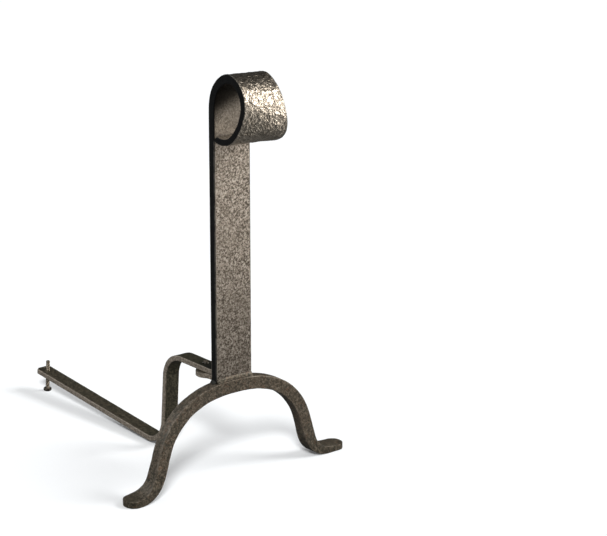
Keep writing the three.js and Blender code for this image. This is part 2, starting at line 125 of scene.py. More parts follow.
def dents(a, b, cell, seed, sharp=1.0):
    """Overlapping hammer dents on a surface with coordinates a, b in millimetres.
    Gives the height (0 at the ridges, -1 at the middle of a dent) and a tilt of each facet."""
    r = np.random.RandomState(seed)
    n = 97
    jit = r.uniform(0.08, 0.92, (n, n, 2))
    dep = r.uniform(0.55, 1.15, (n, n))
    tlt = r.normal(0, 1, (n, n, 2))
    u, v = a / cell, b / cell
    iu, iv = np.floor(u).astype(int), np.floor(v).astype(int)
    best = np.full(len(u), 1e9)
    second = np.full(len(u), 1e9)
    depth, tilt = np.zeros(len(u)), np.zeros(len(u))
    for du in (-1, 0, 1):
        for dv in (-1, 0, 1):
            ci, cj = iu + du, iv + dv
            j = jit[ci % n, cj % n]
            x, y = u - ci - j[:, 0], v - cj - j[:, 1]
            d = x * x + y * y
            near = d < best
            second = np.where(near, best, np.minimum(second, d))
            depth = np.where(near, dep[ci % n, cj % n], depth)
            t = tlt[ci % n, cj % n]
            tilt = np.where(near, t[:, 0] * x + t[:, 1] * y, tilt)
            best = np.where(near, d, best)
    ridge = np.clip((np.sqrt(second) - np.sqrt(best)) / 0.25, 0, 1)
    return -depth * np.clip(1 - best / 0.62, 0, 1) ** sharp, tilt, ridge


def smooth01(x, a, b):
    t = np.clip((np.asarray(x, float) - a) / (b - a), 0, 1)
    return t * t * (3 - 2 * t)


# --------------------------------------------------------------- mesh helpers
def place(v):
    return (np.asarray(v, float) - CENTRE) * 0.001


def make_object(name, verts, faces, body, replaces, material, attrs=None, smooth=True, clip=None):
    """verts in millimetres of the drawing frame; clip names CAD nodes whose box the piece stays in."""
    v = place(verts)
    if clip:
        lo = np.min([np.array(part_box(n)[0]) for n in clip], axis=0)
        hi = np.max([np.array(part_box(n)[1]) for n in clip], axis=0)
        v = np.clip(v, lo, hi)
    me = bpy.data.meshes.new(name)
    me.from_pydata(v.tolist(), [], faces)
    me.update()
    for key, val in (attrs or {}).items():
        at = me.attributes.new(key, "FLOAT", "POINT")
        at.data.foreach_set("value", np.asarray(val, np.float32))
    if smooth:
        me.polygons.foreach_set("use_smooth", np.ones(len(me.polygons), bool))
    ob = bpy.data.objects.new(name, me)
    bpy.context.scene.collection.objects.link(ob)
    me.materials.append(material)
    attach(ob, body)
    if replaces:
        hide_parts(*replaces)
    return ob


def ring_faces(ns, nc, off=0, closed=False):
    s = np.arange(ns - (0 if closed else 1))[:, None]
    c = np.arange(nc)[None, :]
    s1 = (s + 1) % ns
    c1 = (c + 1) % nc
    q = np.stack([s * nc + c, s * nc + c1, s1 * nc + c1, s1 * nc + c], -1) + off
    return q.reshape(-1, 4).tolist()


def section(w, t, r, nw, nt, nr=4):
    """Points round a rounded rectangle w by t, from the middle of the +t face, as (p, q)."""
    pts = []
    hw, ht = w / 2, t / 2
    for i in range(nw):                                  # +q face, p falling
        p = (hw - r) * (1 - 2 * i / nw)
        pts.append((p, ht))
    for i in range(nr):                                  # corner -p +q
        a = math.pi / 2 + (math.pi / 2) * i / nr
        pts.append((-hw + r + r * math.cos(a), ht - r + r * math.sin(a)))
    for i in range(nt):
        pts.append((-hw, (ht - r) * (1 - 2 * i / nt)))
    for i in range(nr):
        a = math.pi + (math.pi / 2) * i / nr
        pts.append((-hw + r + r * math.cos(a), -ht + r + r * math.sin(a)))
    for i in range(nw):
        pts.append((-(hw - r) * (1 - 2 * i / nw), -ht))
    for i in range(nr):
        a = 1.5 * math.pi + (math.pi / 2) * i / nr
        pts.append((hw - r + r * math.cos(a), -ht + r + r * math.sin(a)))
    for i in range(nt):
        pts.append((hw, -(ht - r) * (1 - 2 * i / nt)))
    for i in range(nr):
        a = (math.pi / 2) * i / nr
        pts.append((hw - r + r * math.cos(a), ht - r + r * math.sin(a)))
    return np.array(pts)


def arris_of(sec, w, t, r, reach):
    """1 on the rounded arrises of a section, falling to 0 within reach millimetres."""
    d = np.maximum(w / 2 - np.abs(sec[:, 0]), 0), np.maximum(t / 2 - np.abs(sec[:, 1]), 0)
    far = np.maximum(d[0], d[1])
    return np.clip(1 - (far - r) / reach, 0, 1)


def grid_normals(g, closed_s=False):
    """Normals of a grid of points (ns, nc, 3) that is closed round c."""
    dc = np.roll(g, -1, 1) - np.roll(g, 1, 1)
    if closed_s:
        ds = np.roll(g, -1, 0) - np.roll(g, 1, 0)
    else:
        ds = np.empty_like(g)
        ds[1:-1] = g[2:] - g[:-2]
        ds[0], ds[-1] = g[1] - g[0], g[-1] - g[-2]
    n = np.cross(dc, ds)
    n /= np.maximum(np.linalg.norm(n, axis=2, keepdims=True), 1e-12)
    return n


def outward(g, n):
    c = g.mean(1, keepdims=True)
    return n if ((g - c) * n).sum() > 0 else -n


def cap_rings(ring, normal, r, inner=7, round_steps=4):
    """Closes the end of a tube: a rounded edge of radius r, then rings to the middle."""
    c = ring.mean(0)
    out = []
    d = c - ring
    dist = np.linalg.norm(d, axis=1, keepdims=True)
    unit = d / np.maximum(dist, 1e-9)
    for k in range(1, round_steps + 1):
        a = (math.pi / 2) * k / round_steps
        out.append(ring + unit * np.minimum(r * (1 - math.cos(a)), dist) + normal * r * math.sin(a))
    last = out[-1]
    c = last.mean(0)
    for k in range(1, inner):
        out.append(last + (c - last) * (k / inner))
    return out, c


def tube(stations, r_end, start_normal, end_normal):
    """Adds closed ends to a grid of rings. Gives all vertices as rings plus two pole points."""
    a, pole_a = cap_rings(stations[0], np.asarray(start_normal, float), r_end)
    b, pole_b = cap_rings(stations[-1], np.asarray(end_normal, float), r_end)
    rings = np.array(a[::-1] + list(stations) + b)
    return rings, pole_a, pole_b, len(a), len(b)


def tube_faces(ns, nc):
    f = ring_faces(ns, nc)
    pa, pb = ns * nc, ns * nc + 1
    for c in range(nc):
        f.append([pa, (c + 1) % nc, c])
        o = (ns - 1) * nc
        f.append([pb, o + c, o + (c + 1) % nc])
    return f


def orient(verts, faces):
    """Flips the faces if the closed mesh is inside out."""
    v = np.asarray(verts, float)
    f = np.array([q if len(q) == 4 else [*q, q[2]] for q in faces])
    a, b, c, d = v[f[:, 0]], v[f[:, 1]], v[f[:, 2]], v[f[:, 3]]
    vol = (a * np.cross(b, c)).sum() + (a * np.cross(c, d)).sum()
    return faces if vol > 0 else [q[::-1] for q in faces]


def catmull(points, n):
    """Even spacing along a centripetal curve through 2-D points."""
    p = np.array(points, float)
    p = np.vstack([2 * p[0] - p[1], p, 2 * p[-1] - p[-2]])
    out = []
    for i in range(1, len(p) - 2):
        p0, p1, p2, p3 = p[i - 1], p[i], p[i + 1], p[i + 2]
        t0 = 0.0
        t1 = t0 + max(np.linalg.norm(p1 - p0), 1e-6) ** 0.5
        t2 = t1 + max(np.linalg.norm(p2 - p1), 1e-6) ** 0.5
        t3 = t2 + max(np.linalg.norm(p3 - p2), 1e-6) ** 0.5
        t = np.linspace(t1, t2, 24, endpoint=False)[:, None]
        a1 = (t1 - t) / (t1 - t0) * p0 + (t - t0) / (t1 - t0) * p1
        a2 = (t2 - t) / (t2 - t1) * p1 + (t - t1) / (t2 - t1) * p2
        a3 = (t3 - t) / (t3 - t2) * p2 + (t - t2) / (t3 - t2) * p3
        b1 = (t2 - t) / (t2 - t0) * a1 + (t - t0) / (t2 - t0) * a2
        b2 = (t3 - t) / (t3 - t1) * a2 + (t - t1) / (t3 - t1) * a3
        out.append((t2 - t) / (t2 - t1) * b1 + (t - t1) / (t2 - t1) * b2)
    out = np.vstack(out + [p[-2][None]])
    d = np.concatenate([[0], np.cumsum(np.linalg.norm(np.diff(out, axis=0), axis=1))])
    s = np.linspace(0, d[-1], n + 1)
    return np.stack([np.interp(s, d, out[:, 0]), np.interp(s, d, out[:, 1])], 1), d[-1]


# ------------------------------------------------------------------ materials
def new_material(name):
    m = bpy.data.materials.new(name)
    m.use_nodes = True
    nt = m.node_tree
    nt.nodes.clear()
    out = nt.nodes.new("ShaderNodeOutputMaterial")
    bsdf = nt.nodes.new("ShaderNodeBsdfPrincipled")
    nt.links.new(bsdf.outputs[0], out.inputs[0])
    return m, nt, bsdf


class Nodes:
    """Short ways to add and link shader nodes."""

    def __init__(self, nt):
        self.nt = nt
        self.coord = nt.nodes.new("ShaderNodeTexCoord").outputs["Object"]

    def _set(self, socket, value):
        if isinstance(value, bpy.types.NodeSocket):
            self.nt.links.new(value, socket)
        else:
            socket.default_value = value

    def noise(self, size_mm, detail=3.0, rough=0.55, distortion=0.0, lac=2.0):
        n = self.nt.nodes.new("ShaderNodeTexNoise")
        n.inputs["Scale"].default_value = 1000.0 / size_mm
        n.inputs["Detail"].default_value = detail
        n.inputs["Roughness"].default_value = rough
        n.inputs["Distortion"].default_value = distortion
        n.inputs["Lacunarity"].default_value = lac
        self.nt.links.new(self.coord, n.inputs["Vector"])
        return n.outputs["Fac"]

    def voronoi(self, size_mm, feature="F1", rand=1.0):
        n = self.nt.nodes.new("ShaderNodeTexVoronoi")
        n.feature = feature
        n.inputs["Scale"].default_value = 1000.0 / size_mm
        n.inputs["Randomness"].default_value = rand
        self.nt.links.new(self.coord, n.inputs["Vector"])
        return n.outputs["Distance"]

    def axis(self, i):
        n = self.nt.nodes.new("ShaderNodeSeparateXYZ")
        self.nt.links.new(self.coord, n.inputs[0])
        return n.outputs[i]

    def attr(self, name):
        n = self.nt.nodes.new("ShaderNodeAttribute")
        n.attribute_name = name
        return n.outputs["Fac"]

    def ramp(self, fac, lo, hi, a=0.0, b=1.0):
        n = self.nt.nodes.new("ShaderNodeMapRange")
        n.interpolation_type = "SMOOTHSTEP"
        self._set(n.inputs["Value"], fac)
        n.inputs["From Min"].default_value = lo
        n.inputs["From Max"].default_value = hi
        n.inputs["To Min"].default_value = a
        n.inputs["To Max"].default_value = b
        return n.outputs[0]

    def math(self, op, a, b=0.0, clamp=False):
        n = self.nt.nodes.new("ShaderNodeMath")
        n.operation = op
        n.use_clamp = clamp
        self._set(n.inputs[0], a)
        self._set(n.inputs[1], b)
        return n.outputs[0]

    def mix(self, fac, a, b):
        n = self.nt.nodes.new("ShaderNodeMix")
        n.data_type = "RGBA"
        self._set(n.inputs["Factor"], fac)
        self._set(n.inputs[6], a if isinstance(a, bpy.types.NodeSocket) else (*a, 1.0))
        self._set(n.inputs[7], b if isinstance(b, bpy.types.NodeSocket) else (*b, 1.0))
        return n.outputs[2]

    def scale(self, colour, factor):
        n = self.nt.nodes.new("ShaderNodeVectorMath")
        n.operation = "SCALE"
        self.nt.links.new(colour, n.inputs[0])
        self._set(n.inputs["Scale"], factor)
        return n.outputs[0]

    def bump(self, height, strength, distance_mm, normal=None):
        n = self.nt.nodes.new("ShaderNodeBump")
        n.inputs["Strength"].default_value = strength
        n.inputs["Distance"].default_value = distance_mm * 0.001
        self.nt.links.new(height, n.inputs["Height"])
        if normal is not None:
            self.nt.links.new(normal, n.inputs["Normal"])
        return n.outputs[0]


def burnished_iron():
    """Waxed flat bar: pewter-grey face with fine dark pits, nearly black edges, bright hammered roll."""
    m, nt, b = new_material("burnished_iron")
    k = Nodes(nt)
    face = k.attr("face")            # 1 on the broad faces, 0 on the edges of the bar
    wear = k.attr("wear")            # arrises
    roll = k.attr("hammer")          # hammered outside of the roll
    calm = k.attr("calm")            # smoother inside of the roll
    speck = k.noise(2.9, 3.0, 0.6)
    grain = k.noise(1.5, 2.0, 0.6)
    patch = k.noise(38.0, 3.0, 0.55)
    mixed = k.math("ADD", k.math("MULTIPLY", speck, 0.62), k.math("MULTIPLY", grain, 0.38))
    pit = k.ramp(mixed, 0.43, 0.52)
    lit = k.ramp(mixed, 0.54, 0.60)
    bright = k.mix(pit, (0.165, 0.141, 0.114), (0.575, 0.497, 0.42))
    bright = k.mix(lit, bright, (0.98, 0.90, 0.79))
    bright = k.mix(k.math("MULTIPLY", calm, 0.75), bright, (0.262, 0.233, 0.196))
    bright = k.mix(k.ramp(patch, 0.35, 0.7, 0.0, 0.30), bright, (0.36, 0.31, 0.25))
    # painted shade: the face is made darker towards the bottom, standing in for the fall-off of a near key light
    low = k.ramp(k.axis(2), 0.13, 0.42)
    bright = k.scale(bright, k.math("ADD", 0.29, k.math("MULTIPLY", low, 0.335)))
    # painted shade: the upper inside of the roll, above a slanting line, is mixed to near black for the shadow that
    # falls there
    bright = k.mix(k.attr("scale"), bright, (0.020, 0.017, 0.013))
    edge = k.mix(k.ramp(k.noise(7.0, 3.0), 0.35, 0.75), (0.006, 0.006, 0.006), (0.013, 0.0125, 0.0115))
    col = k.mix(face, edge, bright)
    shiny = k.mix(k.ramp(k.noise(6.5, 3.0, 0.62, 2.2), 0.36, 0.56), (0.30, 0.261, 0.211), (0.48, 0.428, 0.362))
    line = k.math("ABSOLUTE", k.math("SUBTRACT", k.noise(11.0, 1.3, 0.55, 2.6), 0.5))
    line = k.ramp(line, 0.004, 0.032, 0.56, 1.0)         # dark hollows between the hammer marks
    # painted shade: the crest of the roll is darkened by height
    crest = k.ramp(k.axis(2), 0.586, 0.606, 1.04, 0.46)
    col = k.mix(k.math("MULTIPLY", roll, face), col, k.scale(shiny, k.math("MULTIPLY", crest, line)))
    worn = k.math("MULTIPLY", wear, k.ramp(k.noise(14.0, 4.0, 0.6), 0.34, 0.60, 0.15, 0.7))
    col = k.mix(worn, col, (0.42, 0.385, 0.33))
    nt.links.new(col, b.inputs["Base Color"])
    metal = k.math("MAXIMUM", k.math("MULTIPLY", face, 0.95), worn, True)
    nt.links.new(metal, b.inputs["Metallic"])
    rough = k.ramp(pit, 0.0, 1.0, 0.60, 0.46)
    rough = k.math("SUBTRACT", rough, k.math("MULTIPLY", roll, 0.09), True)
    nt.links.new(rough, b.inputs["Roughness"])
    b.inputs["Specular IOR Level"].default_value = 0.22
    h = k.math("ADD", k.math("MULTIPLY", pit, 0.6), k.math("MULTIPLY", k.noise(0.9, 2.0), 0.4))
    h = k.math("MULTIPLY", h, k.math("SUBTRACT", 1.0, k.math("MULTIPLY", roll, 0.75)))
    ham = k.math("MULTIPLY", k.noise(8.0, 0.9, 0.5, 2.6), roll)
    nt.links.new(k.bump(ham, 0.70, 2.1, k.bump(h, 0.45, 0.20)), b.inputs["Normal"])
    return m


def dark_iron():
    """Forged bar under a dark olive-brown waxed scale, mottled, with lighter worn arrises."""
    m, nt, b = new_material("dark_iron")
    k = Nodes(nt)
    wear = k.attr("wear")            # arrises; on the front and right weld beads also a painted highlight
    olive = k.attr("olive")          # the darker, greener finish of the log bar; set full on the left weld bead as painted shade
    painted_side_light = k.attr("painted_side_light")              # painted light: side faces made lighter, standing in for light falling on them
    patch = k.noise(30.0, 4.0, 0.6, 0.6)
    fine = k.noise(4.2, 3.0, 0.62)
    grain = k.noise(2.1, 2.0, 0.6)
    red = k.noise(6.5, 3.0, 0.6, 0.5)
    mixed = k.math("ADD", k.math("MULTIPLY", fine, 0.6), k.math("MULTIPLY", grain, 0.4))
    col = k.mix(k.ramp(patch, 0.36, 0.64), (0.078, 0.067, 0.048), (0.108, 0.086, 0.061))
    col = k.mix(k.ramp(red, 0.54, 0.68, 0.0, 0.65), col, (0.150, 0.088, 0.055))
    col = k.mix(k.ramp(mixed, 0.52, 0.62, 0.0, 0.75), col, (0.235, 0.196, 0.150))
    col = k.mix(k.ramp(mixed, 0.48, 0.40, 0.0, 0.75), col, (0.030, 0.026, 0.019))
    green = k.mix(k.ramp(mixed, 0.42, 0.60), (0.020, 0.0195, 0.011), (0.072, 0.065, 0.041))
    # painted shadow: near black where the upright shades the bar's top and the left weld bead
    green = k.mix(k.attr("painted_shadow"), green, (0.006, 0.006, 0.004))
    col = k.mix(olive, col, green)
    # painted light: lighter colour for the side faces of the bar, the lug and the right bead
    edge = k.mix(k.ramp(mixed, 0.42, 0.60), (0.20, 0.168, 0.132), (0.44, 0.378, 0.305))
    col = k.mix(painted_side_light, col, edge)
    worn = k.math("MULTIPLY", wear, k.ramp(k.noise(12.0, 4.0, 0.62), 0.42, 0.68, 0.05, 0.45))
    col = k.scale(k.mix(worn, col, (0.30, 0.262, 0.215)), 0.84)
    nt.links.new(col, b.inputs["Base Color"])
    nt.links.new(k.math("ADD", k.math("MULTIPLY", worn, 0.3), 0.40, True), b.inputs["Metallic"])
    nt.links.new(k.ramp(mixed, 0.40, 0.64, 0.44, 0.62), b.inputs["Roughness"])
    b.inputs["Specular IOR Level"].default_value = 0.40
    nt.links.new(k.bump(mixed, 0.55, 0.5), b.inputs["Normal"])
    return m


def bolt_steel():
    """Blackened screws, rubbed brighter on their crests and corners, with a painted highlight on the top of the
    joint bolt's dome.
    """
    m, nt, b = new_material("bolt_steel")
    k = Nodes(nt)
    wear = k.attr("wear")
    fine = k.noise(1.8, 4.0, 0.6)
    col = k.mix(k.ramp(fine, 0.4, 0.65), (0.020, 0.018, 0.014), (0.060, 0.052, 0.041))
    worn = k.math("MULTIPLY", wear, k.ramp(k.noise(2.6, 3.0), 0.35, 0.6, 0.55, 1.0))
    col = k.mix(worn, col, (0.44, 0.37, 0.28))
    nt.links.new(col, b.inputs["Base Color"])
    nt.links.new(k.math("ADD", k.math("MULTIPLY", worn, 0.3), 0.6, True), b.inputs["Metallic"])
    nt.links.new(k.ramp(fine, 0.3, 0.7, 0.17, 0.32), b.inputs["Roughness"])
    b.inputs["Specular IOR Level"].default_value = 0.5
    nt.links.new(k.bump(fine, 0.35, 0.12), b.inputs["Normal"])
    return m


IRON, DARK, BOLT = burnished_iron(), dark_iron(), bolt_steel()


# ------------------------------------------------------------- arch geometry
def heading_at(u):
    k = len(ARCH_HEADINGS) - 1
    a = ARCH_HEADINGS

    def m(j):
        if j <= 0 or j >= k:
            return 0.0
        d0, d1 = a[j] - a[j - 1], a[j + 1] - a[j]
        return 0.0 if d0 * d1 <= 0 else 2 * d0 * d1 / (d0 + d1)

    t = min(max(u, 0), 1) * k
    i = min(int(t), k - 1)
    f = t - i
    f2, f3 = f * f, f * f * f
    return math.radians(a[i] * (2 * f3 - 3 * f2 + 1) + m(i) * (f3 - 2 * f2 + f)
                        + a[i + 1] * (-2 * f3 + 3 * f2) + m(i + 1) * (f3 - f2))


def arch_half(n):
    x, z = 0.0, ARCH_CROWN_Z
    h = ARCH_HALF_LENGTH / n
    rows = []
    for i in range(n + 1):
        u = i / n
        if i:
            a = heading_at(u - 0.5 / n)
            x += math.cos(a) * h
            z -= math.sin(a) * h
        a = heading_at(u)
        k = min(max((u - 0.66) / 0.32, 0), 1)
        k = k * k * (3 - 2 * k)
        t = (ARCH_RADIAL * (1 - k) + FOOT_TIP_THICK * k) / 2
        rows.append((x, z, a, t))
    r = np.array(rows)
    r[:, 1] += -(r[:, 1] - np.cos(r[:, 2]) * r[:, 3]).min()
    return r


ARCH = arch_half(560)


def arch_top_at(x):
    ox = ARCH[:, 0] + np.sin(ARCH[:, 2]) * ARCH[:, 3]
    oz = ARCH[:, 1] + np.cos(ARCH[:, 2]) * ARCH[:, 3]
    return np.interp(np.abs(x), ox, oz)


def make_arch():
    n = len(ARCH)
    xs = ARCH[:, 0]
    # rows from the left tip to the right tip, with closer rows on the rounded ends of the pads
    rows = []
    for side, tip in ((-1, -TIP_LEFT_X), (1, TIP_RIGHT_X)):
        body = [i for i in range(0, n) if xs[i] < tip - PAD_RADIUS]
        part = [(side, *ARCH[i]) for i in body]
        for q in range(0, 15):
            d = PAD_RADIUS * (1 - math.cos(math.radians(90 * (1 - q / 14.6))))
            x = tip - d
            part.append((side, x, np.interp(x, xs, ARCH[:, 1]), np.interp(x, xs, ARCH[:, 2]), np.interp(x, xs, ARCH[:, 3])))
        rows = (part[::-1][:-1] + rows) if side < 0 else (rows + part)
    W, T, R = ARCH_DEPTH, ARCH_RADIAL, 1.3
    sec = section(W, T, R, 20, 18, 5)                    # p across the depth, q outwards
    arr = arris_of(sec, W, T, R, 1.2)
    grid, wear = [], []
    for side, x, z, a, t in rows:
        tip = TIP_RIGHT_X if side > 0 else -TIP_LEFT_X
        k = float(smooth01(x + math.sin(a) * t, PAD_START_X, PAD_FULL_X))
        y0, y1 = k * PAD_FRONT_Y, ARCH_DEPTH * (1 - k) + k * PAD_BACK_Y
        d = tip - x
        cut = PAD_RADIUS - math.sqrt(max(PAD_RADIUS ** 2 - (PAD_RADIUS - d) ** 2, 0)) if d < PAD_RADIUS else 0.0
        y0, y1 = y0 + cut, y1 - cut
        hw, mid = (y1 - y0) / 2, (y0 + y1) / 2
        # keep the arris radius even though the section changes
        p = np.sign(sec[:, 0]) * np.maximum(np.abs(sec[:, 0]) - W / 2 + hw, 0)
        if hw > W / 2:
            p = sec[:, 0] * hw / (W / 2)
        q = sec[:, 1] * t / (T / 2)
        px = side * (x + math.sin(a) * q)
        pz = z + math.cos(a) * q
        py = mid - p * 1.0
        grid.append(np.stack([px, py, pz], 1))
        wear.append(arr)
    grid = np.array(grid)
    rings, pa, pb, na, nb = tube(grid, 1.6, (-1, 0, 0), (1, 0, 0))
    rings[:na, :, 0] = np.maximum(rings[:na, :, 0], TIP_LEFT_X)
    rings[-nb:, :, 0] = np.minimum(rings[-nb:, :, 0], TIP_RIGHT_X)
    wear = np.array([arr * 0.7] * na + wear + [arr * 0.7] * nb)
    nrm = outward(rings, grid_normals(rings))
    flat = rings.reshape(-1, 3)
    nf = nrm.reshape(-1, 3)
    h = 0.34 * fbm(flat, 26, 2, 3) + 0.20 * fbm(flat, 7, 2, 9) + 0.07 * fbm(flat, 2.2, 2, 14)
    d1, _, _ = dents(flat[:, 0] + flat[:, 2] * 0.8, flat[:, 1] * 1.3 + flat[:, 2] * 0.2, 11.0, 4)
    h += 0.16 * (d1 + 0.4)
    near_tip = np.minimum(np.abs(flat[:, 0] - TIP_LEFT_X), np.abs(flat[:, 0] - TIP_RIGHT_X))
    h *= smooth01(near_tip, 0.0, 6.0) * 0.7 + 0.3
    h = np.minimum(h, 0.3) - 0.15
    # the crown stays true where the upright and the lug meet it
    joint = (np.abs(flat[:, 0]) < 36) & (flat[:, 2] > 130)
    h = np.where(joint, np.minimum(h, 0.0) * 0.4, h)
    flat = flat + nf * h[:, None]
    flat[:, 2] = np.maximum(flat[:, 2], 0.0)
    verts = np.vstack([flat, pa, pb])
    faces = orient(verts, tube_faces(len(rings), rings.shape[1]))
    w = wear.ravel()
    w = w * np.where(flat[:, 2] > 120, np.clip((np.abs(flat[:, 0] + 6) - 26) / 6, 0, 1), 1)
    w = np.concatenate([w, [0, 0]])
    olive = np.concatenate([0.30 * (1 - smooth01(flat[:, 2], 12, 60)), [0.3, 0.3]])
    return make_object("arch_foot_forged", verts, faces, "stand", ["arch_foot"], DARK,
                       {"wear": w, "olive": olive}, clip=["arch_foot"])


# ---------------------------------------------------------- upright and roll
def make_upright():
    N = 340
    left, ll = catmull(SCROLL_LEFT, N)
    right, rl = catmull(SCROLL_RIGHT, N)
    straight = 400
    z0 = float(arch_top_at(UP_WIDTH / 2)) - 3.0
    zs = np.linspace(z0, 548, straight, endpoint=False)
    foot = np.stack([np.full(straight, UP_BACK_Y), zs], 1)
    oL, oR = np.vstack([foot, left]), np.vstack([foot, right])
    n = len(oL)
    frac = np.concatenate([np.zeros(straight), np.linspace(0, 1, N + 1)])
    k = smooth01(frac, 0.3, 0.75)
    thick = UP_THICK * (1 - k) + SCROLL_TIP_THICK * k

    def inner(o):
        d = np.empty_like(o)
        d[1:-1] = o[2:] - o[:-2]
        d[0], d[-1] = (0, 1), o[-1] - o[-2]
        d /= np.linalg.norm(d, axis=1)[:, None]
        d[:straight] = (0, 1)
        return o + np.stack([-d[:, 1], d[:, 0]], 1) * thick[:, None]

    iL, iR = inner(oL), inner(oR)
    arc = np.concatenate([np.linspace(-(548 - z0), 0, straight, endpoint=False), frac[straight:] * (ll + rl) / 2])
    W, T, R = UP_WIDTH, UP_THICK, 1.35
    sec = section(W, T, R, 66, 13, 5)                    # p across, q outwards (towards the outer edge)
    arr = arris_of(sec, W, T, R, 0.9)
    u = sec[:, 0] / (W / 2)
    v = sec[:, 1] / (T / 2)
    grid = np.zeros((n, len(sec), 3))
    a_, b_ = (1 + u) / 2, (1 + v) / 2
    for j in range(len(sec)):
        yz = ((1 - a_[j]) * (1 - b_[j]) * iL + a_[j] * (1 - b_[j]) * iR
              + (1 - a_[j]) * b_[j] * oL + a_[j] * b_[j] * oR)
        kk = np.where(yz[:, 1] > 500, smooth01(-(yz[:, 0] - 6), 0, 70), 0)
        grid[:, j, 0] = u[j] * (W / 2) * (1 + SCROLL_FLARE * kk)
        grid[:, j, 1:] = yz
    # rounded tip: the last rows close in towards the middle of the band
    rows = [g for g in grid]
    mid = (grid[-1].mean(0))
    tip_dir = np.array([0.0, 1.0, 0.0])
    steps = 7
    tips = []
    for i in range(1, steps + 1):
        a = (math.pi / 2) * i / (steps + 0.6)
        r = rows[n - 1].copy()
        centre = r.copy()
        b = v[:, None]
        half = (grid[-1][:, 1:] - (grid[-1][:, 1:] - b * 0))
        # shrink through the thickness only
        mean_line = np.zeros_like(r)
        o = (1 - a_)[:, None] * oL[-1] + a_[:, None] * oR[-1]
        q = (1 - a_)[:, None] * iL[-1] + a_[:, None] * iR[-1]
        m_ = (o + q) / 2
        yz = m_ + (b * (o - q) / 2) * math.cos(a)
        r[:, 1:] = yz
        r[:, 1] += math.sin(a) * (UP_FRONT_Y - 1.0 - m_[:, 0])
        tips.append(r)
    rings = np.array(rows + tips)
    ns = len(rings)
    foot_cap = []
    c0 = rings[0].mean(0)
    for i in range(1, 5):
        foot_cap.append(rings[0] + (c0 - rings[0]) * i / 5)
    tip_cap = []
    c1 = rings[-1].copy()
    c1[:, 0] = 0
    c1m = rings[-1].mean(0)
    for i in range(1, 5):
        tip_cap.append(rings[-1] + (c1m - rings[-1]) * i / 5)
    all_r = np.array(foot_cap[::-1] + list(rings) + tip_cap)
    arc_r = np.concatenate([[arc[0]] * 4, arc, arc[-1] + np.linspace(1, 4, steps), [arc[-1] + 4] * 4])
    nrm = outward(rings[:300], grid_normals(all_r)[4:304])
    sign = 1.0 if np.allclose(nrm[10], grid_normals(all_r)[14]) else -1.0
    nrm = grid_normals(all_r) * sign
    nrm[:5] = (0, 0, 0)
    nrm[-4:] = (0, 0, 0)
    flat, nf = all_r.reshape(-1, 3), nrm.reshape(-1, 3)
    A = np.repeat(arc_r, len(sec))
    P = np.tile(sec[:, 0], len(all_r))
    V = np.tile(v, len(all_r))
    U = np.tile(u, len(all_r))
    wide = np.tile((np.abs(sec[:, 1]) > T / 2 - 0.5).astype(float) * (np.abs(sec[:, 0]) < W / 2 - 0.4), len(all_r))
    outer = np.tile((sec[:, 1] > T / 2 - 0.6).astype(float), len(all_r))
    side = np.tile((np.abs(sec[:, 0]) > W / 2 - 0.8).astype(float), len(all_r))
    # hammered outside of the roll
    start = smooth01(A, 18, 46) * outer
    warp = np.stack([A + 6.0 * fbm(np.stack([A, P, 0 * A], 1), 15, 2, 21), P + 6.0 * fbm(np.stack([A, P, 9 + 0 * A], 1), 15, 2, 27)], 1)
    d1, t1, _ = dents(warp[:, 0] * 0.85, warp[:, 1] * 1.1, 9.0, 31)
    d2, t2, _ = dents(warp[:, 0] + 40, warp[:, 1], 4.4, 32)
    hammer = 0.95 * d1 + 0.22 * t1 + 0.15 * d2 + 0.06 * t2 + 0.04 * fbm(flat, 2.4, 2, 33)
    # fine pitting on the broad faces
    p1, _, _ = dents(A * 1.0, P, 3.1, 41)
    pits = 0.09 * p1 + 0.08 * fbm(flat, 2.6, 2, 42) + 0.05 * fbm(flat, 16, 2, 45)
    edge = 0.05 * fbm(flat, 14, 3, 51) + 0.03 * fbm(flat, 3, 2, 52)
    h = wide * (start * hammer + (1 - start) * pits) + (1 - wide) * edge
    h += start * (1 - wide) * 0.35 * hammer
    h = h + 0.30 * start
    h = np.minimum(h, 0.25) - 0.05
    near_foot = smooth01(flat[:, 2], z0 + 1.0, z0 + 10.0)
    h *= near_foot
    flat = flat + nf * h[:, None]
    # coped foot: nothing goes below the crown of the arch
    flat[:, 2] = np.where(flat[:, 2] < 175, np.maximum(flat[:, 2], arch_top_at(np.clip(flat[:, 0], -35, 35)) + GAP), flat[:, 2])
    face = np.tile(np.clip((W / 2 - np.where(sec[:, 0] > 0, 1.1, 0.55) - np.abs(sec[:, 0])) / 0.9, 0, 1), len(all_r))
    wear = np.tile(arr, len(all_r))
    calm = (1 - outer) * smooth01(A, -44, -34)
    wear = wear * (1 - calm)
    # painted shade: mask for the upper inside of the roll, above a slanting line, which the material makes near
    # black for the shadow there
    scale = (1 - outer) * smooth01(A, -44, -34) * smooth01(flat[:, 2] - 0.35 * flat[:, 0], 544, 578)
    verts = np.vstack([flat, all_r[0].mean(0), all_r[-1].mean(0)])
    verts[-2, 2] = arch_top_at(0) + GAP
    faces = orient(verts, tube_faces(len(all_r), len(sec)))
    ext = lambda x, e=0.0: np.concatenate([x, [e, e]])
    return make_object("upright_scroll_forged", verts, faces, "stand", ["upright_scroll"], IRON,
                       {"wear": ext(wear), "face": ext(face, 1), "hammer": ext(start), "calm": ext(calm), "scale": ext(scale)},
                       clip=["upright_scroll"])


